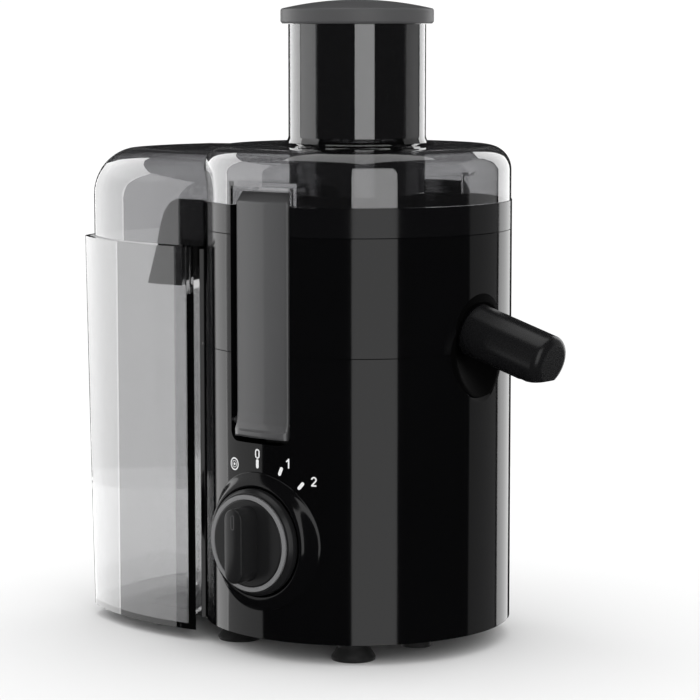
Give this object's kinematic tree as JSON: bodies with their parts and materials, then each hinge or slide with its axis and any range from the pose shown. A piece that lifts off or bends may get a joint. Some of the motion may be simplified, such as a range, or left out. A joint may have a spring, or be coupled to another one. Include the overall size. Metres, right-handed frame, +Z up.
{
  "type": "centrifugal juicer",
  "caption": "Countertop centrifugal juicer: gloss drum body, smoked lid with feed tube and pusher, side pulp bin, clamps, speed knob and sloping spout.",
  "frame": {"origin": "middle of the footprint's bounding box, on the table", "axes": "+Z up, -Y to the front (knob side), +X to the juice spout, -X to the pulp bin"},
  "size_m": [0.3179, 0.2054, 0.3671],
  "materials": {
    "body_black": "gloss",
    "base_black": "satin",
    "foot_rubber": "matt",
    "screw_steel": "satin",
    "bezel_black": "satin",
    "knob_black": "satin",
    "trim_silver": "satin",
    "clamp_grey": "satin",
    "guide_grey": "gloss",
    "spout_black": "matt",
    "lid_smoke": "clear gloss",
    "pusher_smoke": "clear gloss",
    "cap_grey": "satin",
    "bin_clear": "clear gloss",
    "sieve_steel": "satin",
    "hub_plastic": "satin",
    "coupling_black": "satin",
    "shaft_steel": "ground",
    "lamination_steel": "matt",
    "winding_copper": "enamelled",
    "commutator_copper": "turned",
    "bracket_zinc": "cast",
    "bearing_steel": "ground",
    "brush_carbon": "matt",
    "switch_white": "satin"
  },
  "bodies": {
    "base": {"motor_housing": "body_black", "base_plate": "base_black", "feet": "foot_rubber", "support_pads": "foot_rubber", "base_screws": "screw_steel", "cord_gland": "foot_rubber", "knob_bezel": "bezel_black", "speed_switch": "switch_white", "interlock_switch": "switch_white", "juice_collector": "body_black", "pulp_guide": "guide_grey", "clamp_pins": "screw_steel", "stator_core": "lamination_steel", "field_windings": "winding_copper", "lower_bracket": "bracket_zinc", "upper_bracket": "bracket_zinc", "lower_bearing": "bearing_steel", "upper_bearing": "bearing_steel", "motor_bolts": "screw_steel", "motor_dampers": "foot_rubber", "brush_carrier": "coupling_black", "brush_holders": "commutator_copper", "carbon_brushes": "brush_carbon", "brush_springs": "screw_steel", "shaft_seal": "foot_rubber"},
    "rotor": {"motor_shaft": "shaft_steel", "armature_core": "lamination_steel", "armature_windings": "winding_copper", "commutator": "commutator_copper", "cooling_fan": "coupling_black", "drive_coupling": "coupling_black", "sieve_hub": "hub_plastic", "grater_disc": "sieve_steel", "sieve_mesh": "sieve_steel", "sieve_rim": "hub_plastic"},
    "knob": {"knob_grip": "knob_black", "knob_trim_ring": "trim_silver", "knob_collar": "knob_black", "knob_spindle": "knob_black"},
    "lid": {"lid": "lid_smoke"},
    "pusher": {"pusher_body": "pusher_smoke", "pusher_cap": "cap_grey"},
    "front_clamp": {"front_clamp": "clamp_grey"},
    "rear_clamp": {"rear_clamp": "clamp_grey"},
    "spout": {"spout": "spout_black"},
    "bin": {"pulp_bin": "bin_clear"},
    "plunger": {"interlock_plunger": "switch_white"}
  },
  "joints": [
    {"name": "sieve_spin", "type": "hinge", "parent": "base", "child": "rotor", "pos_m": [0.01937, 0.0077, 0.1016], "axis": [0, 0, 1], "continuous": true},
    {"name": "knob_turn", "type": "hinge", "parent": "base", "child": "knob", "pos_m": [0.01937, -0.0883, 0.0666], "axis": [0, 1, 0], "range_deg": [-24, 40]},
    {"name": "lid_lift", "type": "slide", "parent": "base", "child": "lid", "axis": [0, 0, 1], "range_m": [0, 0.12]},
    {"name": "pusher_slide", "type": "slide", "parent": "lid", "child": "pusher", "axis": [0, 0, 1], "range_m": [0, 0.11]},
    {"name": "front_clamp_swing", "type": "hinge", "parent": "base", "child": "front_clamp", "pos_m": [0.01937, -0.0743, 0.1326], "axis": [1, 0, 0], "range_deg": [0, 60]},
    {"name": "rear_clamp_swing", "type": "hinge", "parent": "base", "child": "rear_clamp", "pos_m": [0.01937, 0.0897, 0.1326], "axis": [-1, 0, 0], "range_deg": [0, 60]},
    {"name": "spout_turn", "type": "hinge", "parent": "base", "child": "spout", "pos_m": [0.11937, 0.0077, 0.179], "axis": [0.9588, 0, -0.284], "range_deg": [0, 180]},
    {"name": "bin_slide", "type": "slide", "parent": "base", "child": "bin", "axis": [-1, 0, 0], "range_m": [0, 0.12]},
    {"name": "interlock_press", "type": "slide", "parent": "base", "child": "plunger", "axis": [0, -1, 0], "range_m": [0, 0.003]}
  ],
  "couplings": [
    {"joint": "front_clamp_swing", "follows": "lid_lift", "rad_per_m": 8.7},
    {"joint": "rear_clamp_swing", "follows": "lid_lift", "rad_per_m": 8.7},
    {"joint": "interlock_press", "follows": "lid_lift", "ratio": 0.025}
  ]
}
